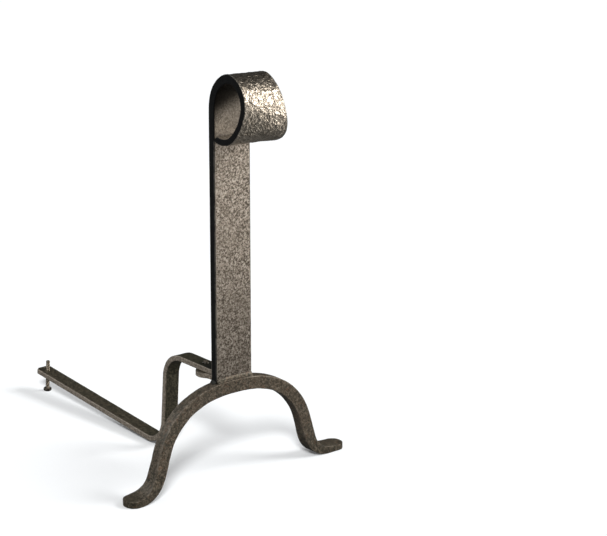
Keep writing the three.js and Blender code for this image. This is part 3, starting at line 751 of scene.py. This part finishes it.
# ------------------------------------------------------------------- log bar
def fillet(a, b, c, r, n):
    A, B, D = np.array(a, float), np.array(b, float), np.array(c, float)
    u, v = (A - B) / np.linalg.norm(A - B), (D - B) / np.linalg.norm(D - B)
    half = math.acos(np.clip(u @ v, -1, 1)) / 2
    centre = (u + v) / np.linalg.norm(u + v) * r / math.sin(half) + B
    p0, p1 = u * r / math.tan(half) + B, v * r / math.tan(half) + B
    b0 = math.atan2(*(p0 - centre)[::-1])
    d = math.atan2(*(p1 - centre)[::-1]) - b0
    while d > math.pi:
        d -= 2 * math.pi
    while d < -math.pi:
        d += 2 * math.pi
    return [centre + r * np.array([math.cos(b0 + d * i / n), math.sin(b0 + d * i / n)]) for i in range(n + 1)]


TOP_Z = BAR_TOP_Z - BAR_THICK / 2


def riser_y(z):
    return BAR_RISER_Y + (RISER_REF_Z - z) * math.tan(BAR_PITCH)


def run_z(y):
    return RUN_REF_Z + (y - RUN_REF_Y) * math.tan(BAR_PITCH)


def bar_line():
    top = (riser_y(TOP_Z), TOP_Z)
    cy = riser_y(0)
    for _ in range(8):
        cy = riser_y(run_z(cy))
    low = (cy, run_z(cy))
    front, rear = (BAR_FRONT_Y, TOP_Z), (BAR_REAR_Y, run_z(BAR_REAR_Y))
    return [np.array(front)] + fillet(front, top, low, BAR_BEND_RADIUS, 48) + fillet(top, low, rear, BAR_BEND_RADIUS, 48) + [np.array(rear)]


def make_bar():
    line = np.array(bar_line())
    d = np.concatenate([[0], np.cumsum(np.linalg.norm(np.diff(line, axis=0), axis=1))])
    L = d[-1]
    ends = np.array([0.35, 0.8, 1.4, 2.2, 3.1, 4.0, 4.5, 5.0, 5.8, 7.0])
    s = np.concatenate([ends, np.arange(8.2, L - 8.2, 1.25), L - ends[::-1]])
    y, z = np.interp(s, d, line[:, 0]), np.interp(s, d, line[:, 1])
    e = 0.8
    ty = np.interp(np.clip(s + e, 0, L), d, line[:, 0]) - np.interp(np.clip(s - e, 0, L), d, line[:, 0])
    tz = np.interp(np.clip(s + e, 0, L), d, line[:, 1]) - np.interp(np.clip(s - e, 0, L), d, line[:, 1])
    ln = np.hypot(ty, tz)
    ty, tz = ty / ln, tz / ln
    W, T, R = BAR_WIDTH, BAR_THICK, 1.25
    sec = section(W, T, R, 26, 7, 5)
    arr = arris_of(sec, W, T, R, 0.9)
    grid = []
    for i in range(len(s)):
        dist = min(s[i], L - s[i])
        hw = min(W / 2, W / 2 - CORNER_CLIP + dist * 1.0)
        p = np.sign(sec[:, 0]) * np.maximum(np.abs(sec[:, 0]) - (W / 2 - hw), 0)
        edge = np.abs(sec[:, 0]) < W / 2 - CORNER_CLIP - 2
        p = np.where(edge, sec[:, 0] * hw / (W / 2), p)
        squeeze = 1.0
        if dist < R:
            squeeze = (T / 2 - R + math.sqrt(max(R * R - (R - dist) ** 2, 0))) / (T / 2)
        q = sec[:, 1] * squeeze
        grid.append(np.stack([p, y[i] - tz[i] * q, z[i] + ty[i] * q], 1))
    grid = np.array(grid)
    mid0, mid1 = grid[0].mean(0), grid[-1].mean(0)
    cap0 = [grid[0] + (mid0 - grid[0]) * k / 5 for k in range(1, 5)]
    cap1 = [grid[-1] + (mid1 - grid[-1]) * k / 5 for k in range(1, 5)]
    rings = np.array(cap0[::-1] + list(grid) + cap1)
    nrm = outward(rings, grid_normals(rings))
    nrm[:4] = 0
    nrm[-4:] = 0
    flat, nf = rings.reshape(-1, 3), nrm.reshape(-1, 3)
    S = np.repeat(np.concatenate([[0] * 4, s, [L] * 4]), len(sec))
    P = flat[:, 0]
    d1, _, _ = dents(S, P, 12.0, 61)
    h = 0.14 * (d1 + 0.3) + 0.16 * fbm(flat, 24, 2, 62) + 0.10 * fbm(flat, 5, 2, 63) + 0.05 * fbm(flat, 2, 2, 64)
    h = np.minimum(h, 0.12) - 0.10
    flat = flat + nf * h[:, None]
    verts = np.vstack([flat, mid0, mid1])
    faces = orient(verts, tube_faces(len(rings), len(sec)))
    wear = np.concatenate([np.tile(arr, len(rings)), [0, 0]])
    # painted shadow: the top of the bar close to the upright, where the upright's shade falls
    painted_shadow = 0.9 * (1 - smooth01(verts[:, 1], 62, 84)) * (verts[:, 2] > 120)
    # painted light: mask of the bar's side faces, which are made lighter for the light on them
    side = np.clip((np.abs(sec[:, 0]) - W / 2 + 1.5) / 0.9, 0, 1)
    painted_side_light = np.concatenate([np.tile(side, len(rings)), [0, 0]])
    ob = make_object("log_bar_forged", verts, faces, "log_rest_bar", ["log_bar"], DARK,
                     {"wear": wear, "painted_side_light": painted_side_light, "olive": 1 - 0.32 * smooth01(verts[:, 1], 185, 240), "painted_shadow": painted_shadow}, clip=["log_bar"])
    return ob


# ---------------------------------------------------------------- fasteners
def level_frame():
    y, z = LEVEL_Y, run_z(LEVEL_Y) + BAR_THICK / 2 / math.cos(BAR_PITCH)
    c, s = math.cos(BAR_PITCH), math.sin(BAR_PITCH)
    return np.array([[1, 0, 0, 0], [0, c, -s, y], [0, s, c, z], [0, 0, 0, 1]], float)


def apply4(m, v):
    return v @ m[:3, :3].T + m[:3, 3]


def thread_rings(z0, z1, r, depth, pitch, nc=40, per=10, fade=1.6):
    """Rings of a 60-degree screw thread from z0 up to z1, faded out at both ends."""
    n = int((z1 - z0) / pitch * per)
    zs = np.linspace(z0, z1, n + 1)
    th = np.linspace(0, 2 * math.pi, nc, endpoint=False)
    Z, TH = np.meshgrid(zs, th, indexing="ij")
    ph = np.mod(Z / pitch - TH / (2 * math.pi), 1.0)
    tri = np.abs(ph * 2 - 1)                              # 1 at the root, 0 at the crest
    prof = np.clip((tri - 0.14) / 0.72, 0, 1)
    k = np.clip((Z - z0) / fade, 0, 1) * np.clip((z1 - Z) / fade, 0, 1)
    rr = r - depth * prof * k
    return np.stack([rr * np.cos(TH), rr * np.sin(TH), Z], -1), (1 - prof) * k


def lathe_like(rings, wears, name, body, m, replaces, clip):
    nc = rings.shape[1]
    flat = rings.reshape(-1, 3)
    verts = np.vstack([flat, rings[0].mean(0), rings[-1].mean(0)])
    faces = orient(verts, tube_faces(len(rings), nc))
    w = np.concatenate([np.asarray(wears).ravel(), [0, 0]])
    return make_object(name, apply4(m, verts), faces, body, replaces, BOLT, {"wear": w}, clip=clip)


def hex_radius(th, af):
    """Distance from the axis to the side of a hexagon across flats af."""
    t = np.mod(th + math.pi / 6, math.pi / 3) - math.pi / 6
    return af / 2 / np.cos(t)


def make_level_bolt():
    foot = -BAR_THICK - LEVEL_BELOW
    nc = 72
    th = np.linspace(0, 2 * math.pi, nc, endpoint=False)
    rings, wears = [], []

    def ring(r, z, w):
        rr = np.broadcast_to(r, th.shape)
        rings.append(np.stack([rr * np.cos(th), rr * np.sin(th), np.full(nc, float(z))], 1))
        wears.append(np.broadcast_to(w, th.shape).copy())

    # the hexagon has flats facing along X, as the CAD head
    hexr = hex_radius(th + math.pi / 6 * 0, HEX_AF)
    top = foot + HEX_HEAD
    chamf = HEX_AF / 2 * 1.0
    for r in (0.0001, 2.4, chamf - 0.8):
        ring(r, foot + 0.02, 0.2)
    for z in (0.0, 0.08, 0.25, 0.45, 0.7):               # chamfered lower corners
        lim = chamf - 0.1 + z / math.tan(math.radians(30))
        ring(np.minimum(hexr, lim), foot + z, np.where(hexr > lim - 0.25, 0.8, 0.4))
    for z in np.linspace(foot + 0.9, top - 0.45, 5):
        ring(hexr, z, np.clip((hexr - HEX_AF / 2) / 0.86, 0, 1) ** 3)
    for z in (0.3, 0.12, 0.0):
        lim = hexr.max() - (0.30 - z) * 0.9
        ring(np.minimum(hexr, lim), top - z, 0.5)
    for r in (HEX_AF / 2 - 0.7, 4.0):
        ring(r, top, 0.1)
    ring(BOLT_DIA / 2 + 0.25, top + 0.02, 0.1)
    ring(BOLT_DIA / 2, top + 0.3, 0.1)
    t, w = thread_rings(top + 0.8, LEVEL_ABOVE - 0.75, BOLT_DIA / 2, 0.62, THREAD_PITCH, nc, 10)
    for i in range(len(t)):
        rings.append(t[i])
        wears.append(0.35 + w[i] * 0.5)
    ring(BOLT_DIA / 2 - 0.35, LEVEL_ABOVE - 0.35, 0.6)
    ring(BOLT_DIA / 2 - 0.9, LEVEL_ABOVE, 0.6)
    ring(1.2, LEVEL_ABOVE, 0.2)
    ring(0.3, LEVEL_ABOVE, 0.2)
    return lathe_like(np.array(rings), wears, "levelling_bolt_threaded", "levelling_screw", level_frame(),
                      ["levelling_bolt"], ["levelling_bolt"])


def make_joint_bolt():
    nc = 64
    th = np.linspace(0, 2 * math.pi, nc, endpoint=False)
    tail = BAR_THICK + GAP + LUG_THICK - JOINT_END
    rings, wears = [], []

    def ring(r, z, w=0.0):
        rings.append(np.stack([r * np.cos(th), r * np.sin(th), np.full(nc, float(z))], 1))
        wears.append(np.full(nc, w))

    ring(0.3, -tail), ring(1.5, -tail), ring(BOLT_DIA / 2 - 0.8, -tail, 0.4)
    t, w = thread_rings(-tail + 0.6, -BAR_THICK + 1.0, BOLT_DIA / 2, 0.62, THREAD_PITCH, nc, 10, 1.0)
    for i in range(len(t)):
        rings.append(t[i])
        wears.append(w[i] * 0.6)
    ring(BOLT_DIA / 2, -BAR_THICK + 1.6), ring(BOLT_DIA / 2, GAP - 0.2), ring(BOLT_DIA / 2 + 0.2, GAP)
    R = DOME_DIA / 2
    ring(R - 0.5, GAP), ring(R - 0.12, GAP + 0.06), ring(R, GAP + 0.3), ring(R, GAP + 0.7)
    # painted highlight: full wear on the top of the dome lightens it as a bright spot
    for i in range(1, 12):
        a = (i / 12) * math.pi / 2
        ring(R * math.cos(a), GAP + 0.8 + (DOME_HEIGHT - 0.8) * math.sin(a), 1.0 if i > 6 else 0.0)
    rings = np.array(rings)
    # the head is a little flattened by the wrench and the hammer
    flat = rings.reshape(-1, 3)
    bumpy = fbm(flat + 50, 3.0, 2, 77)
    up = flat[:, 2] > GAP + 0.4
    flat[:, 2] -= np.where(up, 0.14 * np.abs(bumpy), 0)
    m = np.eye(4)
    m[:3, 3] = (0, JOINT_Y, BAR_TOP_Z)
    return lathe_like(flat.reshape(rings.shape), wears, "joint_bolt_threaded", "stand", m, ["joint_bolt"], ["joint_bolt"])


# --------------------------------------------------- forged lug, weld fillets
def remeshed(node, name, voxel_mm, material, rounds, amp, size, seed, body="stand", shrink=0.1,
             wear_and_glint_gain=0.5, painted_side_light_gain=0.0, olive=0.0, painted_shadow=0.0, painted_highlight_end=0.0):
    """A finer, softened copy of a small CAD solid with a worked surface."""
    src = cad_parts[node]
    me = src.data.copy()
    ob = bpy.data.objects.new(name, me)
    bpy.context.scene.collection.objects.link(ob)
    md = ob.modifiers.new("r", "REMESH")
    md.mode = "VOXEL"
    md.voxel_size = voxel_mm * 0.001
    md.use_smooth_shade = True
    if rounds:
        sm = ob.modifiers.new("s", "SMOOTH")
        sm.factor = 0.5
        sm.iterations = rounds
    dg = bpy.context.evaluated_depsgraph_get()
    new = bpy.data.meshes.new_from_object(ob.evaluated_get(dg))
    bpy.data.objects.remove(ob)
    bpy.data.meshes.remove(me)
    n = len(new.vertices)
    co = np.zeros(n * 3)
    new.vertices.foreach_get("co", co)
    co = co.reshape(-1, 3)
    nr = np.zeros(n * 3)
    new.vertices.foreach_get("normal", nr)
    nr = nr.reshape(-1, 3)
    mm = co * 1000
    h = amp * fbm(mm, size, 3, seed) + 0.35 * amp * fbm(mm, size / 3.5, 2, seed + 5)
    co = co + nr * (np.minimum(h, amp * 0.6) - shrink)[:, None] * 0.001
    lo, hi = np.array(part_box(node)[0]), np.array(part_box(node)[1])
    co = np.clip(co, lo, hi)
    faces = [list(p.vertices) for p in new.polygons]
    bpy.data.meshes.remove(new)
    # arrises: vertices whose normal is far from the main directions
    big = np.sort(np.abs(nr), axis=1)
    wear = np.clip((0.93 - big[:, 2]) / 0.25, 0, 1) * wear_and_glint_gain
    # painted light: faces whose normal is far from vertical are lightened for the light on them
    attrs = {"wear": wear, "painted_side_light": painted_side_light_gain * np.clip((0.75 - np.abs(nr[:, 2])) / 0.3, 0, 1),
             "olive": np.full(n, olive), "painted_shadow": np.full(n, painted_shadow), "face": np.ones(n)}
    # painted highlight: the right end of the front bead is lightened through the wear attribute, standing in for a
    # glint
    if painted_highlight_end:
        attrs["wear"] = smooth01(mm[:, 0], painted_highlight_end - 4, painted_highlight_end)
    return make_object(name, co * 1000 + CENTRE, faces, body, [node], material, attrs, clip=[node])


make_arch()
UPRIGHT = make_upright()
make_bar()
make_level_bolt()
make_joint_bolt()
remeshed("rear_lug", "rear_lug_forged", 0.6, DARK, 3, 0.22, 9.0, 81, wear_and_glint_gain=0.4, painted_side_light_gain=1.0, olive=0.5)
# painted highlight at the right end of the front bead
remeshed("upright_weld_front", "upright_weld_front_bead", 0.35, DARK, 3, 0.30, 3.0, 82, shrink=0.0, wear_and_glint_gain=0.0,
         olive=0.12, painted_highlight_end=19.5)
# painted shadow: the left bead is made dark, with full olive and painted shadow, for the shade in the corner beside
# the upright
remeshed("upright_weld_left", "upright_weld_left_bead", 0.30, DARK, 2, 0.40, 2.4, 83, shrink=0.0, wear_and_glint_gain=0.0, olive=1.0, painted_shadow=0.8)
# painted highlight: the right bead gets strong wear and side light, lightening it as bright glints
remeshed("upright_weld_right", "upright_weld_right_bead", 0.30, DARK, 2, 0.40, 2.4, 84, shrink=0.0, wear_and_glint_gain=1.3, painted_side_light_gain=0.5)
remeshed("lug_weld_top", "lug_weld_top_bead", 0.30, DARK, 2, 0.40, 2.6, 85, shrink=0.0)
remeshed("lug_weld_bottom", "lug_weld_bottom_bead", 0.30, DARK, 2, 0.40, 2.6, 86, shrink=0.0)


# --------------------------------------------------------------------- stage
def make_floor():
    """Pale sweep. The camera sees it white; the iron sees it as a darker studio floor."""
    me = bpy.data.meshes.new("floor")
    s = 30.0
    me.from_pydata([(-s, -s, 0), (s, -s, 0), (s, s, 0), (-s, s, 0)], [], [(0, 1, 2, 3)])
    ob = bpy.data.objects.new("floor", me)
    bpy.context.scene.collection.objects.link(ob)
    m = bpy.data.materials.new("floor_white")
    m.use_nodes = True
    nt = m.node_tree
    nt.nodes.clear()
    out = nt.nodes.new("ShaderNodeOutputMaterial")
    seen = nt.nodes.new("ShaderNodeBsdfDiffuse")
    seen.inputs[0].default_value = (FLOOR_SEEN, FLOOR_SEEN, FLOOR_SEEN, 1)
    glow = nt.nodes.new("ShaderNodeEmission")
    glow.inputs[1].default_value = FLOOR_GLOW
    add = nt.nodes.new("ShaderNodeAddShader")
    bounced = nt.nodes.new("ShaderNodeBsdfDiffuse")
    bounced.inputs[0].default_value = (FLOOR_BOUNCE, FLOOR_BOUNCE, FLOOR_BOUNCE, 1)
    lp = nt.nodes.new("ShaderNodeLightPath")
    mix = nt.nodes.new("ShaderNodeMixShader")
    nt.links.new(seen.outputs[0], add.inputs[0])
    nt.links.new(glow.outputs[0], add.inputs[1])
    nt.links.new(lp.outputs["Is Camera Ray"], mix.inputs[0])
    nt.links.new(bounced.outputs[0], mix.inputs[1])
    nt.links.new(add.outputs[0], mix.inputs[2])
    nt.links.new(mix.outputs[0], out.inputs[0])
    me.materials.append(m)
    return ob


FLOOR_SEEN, FLOOR_GLOW, FLOOR_BOUNCE = 0.80, 0.11, 0.11
FLOOR_OB = make_floor()
ONLY_FLOOR = bpy.data.collections.new("only_floor")
ONLY_FLOOR.objects.link(FLOOR_OB)
NOT_FLOOR = bpy.data.collections.new("not_floor")
NOT_FLOOR.objects.link(FLOOR_OB)
NOT_FLOOR.collection_objects[0].light_linking.link_state = "EXCLUDE"
NOT_FACE = bpy.data.collections.new("not_face")
for _ob in (FLOOR_OB, UPRIGHT):
    NOT_FACE.objects.link(_ob)
for _it in NOT_FACE.collection_objects:
    _it.light_linking.link_state = "EXCLUDE"


def sun(name, direction, strength, angle_deg, colour, lights):
    """direction points from the object to the light; lights is what the light falls on."""
    li = bpy.data.lights.new(name, "SUN")
    li.energy = strength
    li.angle = math.radians(angle_deg)
    li.color = colour
    ob = bpy.data.objects.new(name, li)
    bpy.context.scene.collection.objects.link(ob)
    ob.rotation_euler = Vector(direction).to_track_quat("Z", "Y").to_euler()
    ob.light_linking.receiver_collection = lights
    return ob


NO_UPRIGHT_SHADOW = bpy.data.collections.new("no_upright_shadow")
NO_UPRIGHT_SHADOW.objects.link(UPRIGHT)
NO_UPRIGHT_SHADOW.collection_objects[0].light_linking.link_state = "EXCLUDE"
# the iron is lit from the front right, softly from the left, and weakly from above
sun("key", (0.70, -0.56, 0.43), 2.3, 20, (1.0, 0.965, 0.92), NOT_FLOOR)
sun("key_low", (0.74, -0.62, 0.07), 1.7, 30, (1.0, 0.965, 0.92), NOT_FLOOR)
sun("left", (-0.66, -0.46, 0.60), 2.0, 30, (1.0, 0.985, 0.975), NOT_FACE)
sun("back_left", (-0.62, 0.55, 0.56), 0.9, 40, (0.93, 0.965, 1.0), NOT_FLOOR)
sun("top", (-0.30, 0.20, 0.93), 0.6, 60, (0.95, 0.98, 1.0), NOT_FLOOR)
# the light that the pale sweep throws back up under the roll
ONLY_UPRIGHT = bpy.data.collections.new("only_upright")
ONLY_UPRIGHT.objects.link(UPRIGHT)
sun("bounce", (0.62, -0.50, -0.60), 0.5, 36, (1.0, 0.965, 0.92), ONLY_UPRIGHT).light_linking.blocker_collection = NOT_FLOOR
# soft light on the sweep, from behind the camera, from the right and from above
for _s in (sun("sweep_front", (-0.50, -0.62, 0.60), 3.1, 13, (0.965, 0.985, 1.0), ONLY_FLOOR),
           sun("sweep_right", (0.60, -0.50, 0.60), 2.1, 27, (0.965, 0.985, 1.0), ONLY_FLOOR)):
    _s.light_linking.blocker_collection = NO_UPRIGHT_SHADOW
sun("sweep_top", (-0.05, 0.05, 1.0), 0.50, 80, (1.0, 1.0, 1.0), ONLY_FLOOR)

world = bpy.data.worlds.new("studio")
bpy.context.scene.world = world
world.use_nodes = True
wn = world.node_tree
wn.nodes.clear()
w_out = wn.nodes.new("ShaderNodeOutputWorld")
w_mix = wn.nodes.new("ShaderNodeMixShader")
w_lp = wn.nodes.new("ShaderNodeLightPath")
w_a = wn.nodes.new("ShaderNodeBackground")
w_a.inputs[0].default_value = (0.9, 0.95, 1.0, 1)
w_a.inputs[1].default_value = 0.04
w_b = wn.nodes.new("ShaderNodeBackground")
w_b.inputs[0].default_value = (1, 1, 1, 1)
w_b.inputs[1].default_value = 1.2
wn.links.new(w_lp.outputs["Is Camera Ray"], w_mix.inputs[0])
wn.links.new(w_a.outputs[0], w_mix.inputs[1])
wn.links.new(w_b.outputs[0], w_mix.inputs[2])
wn.links.new(w_mix.outputs[0], w_out.inputs[0])

bpy.context.scene.view_settings.view_transform = "Standard"
bpy.context.scene.view_settings.look = "None"
bpy.context.scene.view_settings.exposure = 0.0
bpy.context.scene.view_settings.gamma = 1.0

# -------------------------------------------------------------------- camera
cam = bpy.data.cameras.new("camera")
cam.sensor_width = 36.0
cam.lens = 2478.79 * 36.0 / 607.0
cam.clip_end = 100.0
cam_ob = bpy.data.objects.new("camera", cam)
bpy.context.scene.collection.objects.link(cam_ob)
cam_ob.matrix_world = Matrix((
    (0.7778504, 0.1799940, -0.6021221, -2.045944 - 0.0085),
    (-0.6284495, 0.2227836, -0.7452642, -2.685840 - 0.21898),
    (0.0, 0.9581073, 0.2864094, 1.330951),
    (0, 0, 0, 1)))
bpy.context.scene.camera = cam_ob
